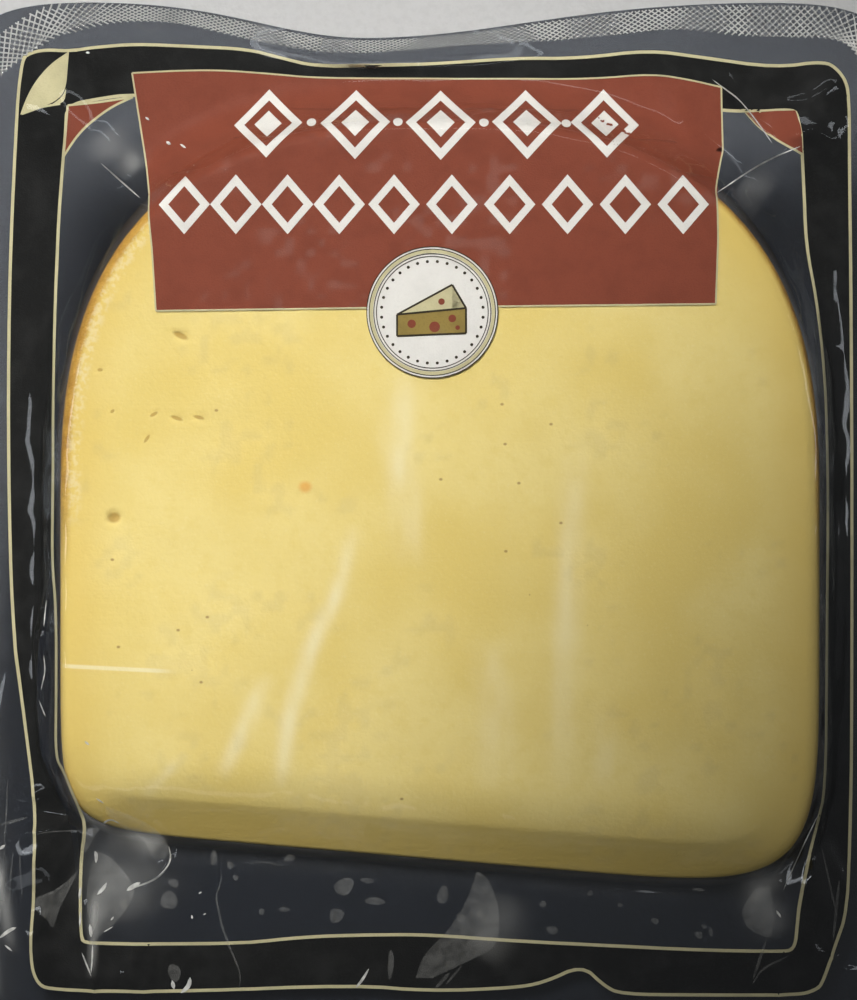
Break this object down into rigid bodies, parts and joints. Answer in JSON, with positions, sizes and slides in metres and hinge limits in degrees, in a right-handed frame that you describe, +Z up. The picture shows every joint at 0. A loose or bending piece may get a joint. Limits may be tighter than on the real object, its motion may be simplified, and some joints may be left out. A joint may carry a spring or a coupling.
{
  "type": "vacuum-packed cheese wedge",
  "caption": "Wedge of semi-hard wheel cheese with a convex rind rim and a slanted end cut, sealed in a clear vacuum film pack with a flat flange.",
  "frame": {"origin": "bottom centre of the pack's bounding box, on the surface that the wedge's back cut face lies on", "axes": "+Z up out of that surface; +Y from the thin end towards the rim, along the wedge; +X along the axis of the wheel, across the wedge; the front cut face is up and tilted 16 degrees, higher towards +Y"},
  "size_m": [0.1276, 0.1352, 0.0386],
  "materials": {
    "cheese": "moist satin, pale yellow, with an orange rind on the rim and sides",
    "clear_film": "clear, glossy, wrinkled film",
    "print_black": "opaque black ink under gloss film",
    "print_gold": "pale gold ink under gloss film",
    "print_terracotta": "terracotta ink under gloss film",
    "print_white": "white ink under gloss film"
  },
  "bodies": {
    "root": {"cheese_wedge": "cheese", "film_flange": "clear_film"}
  },
  "joints": []
}
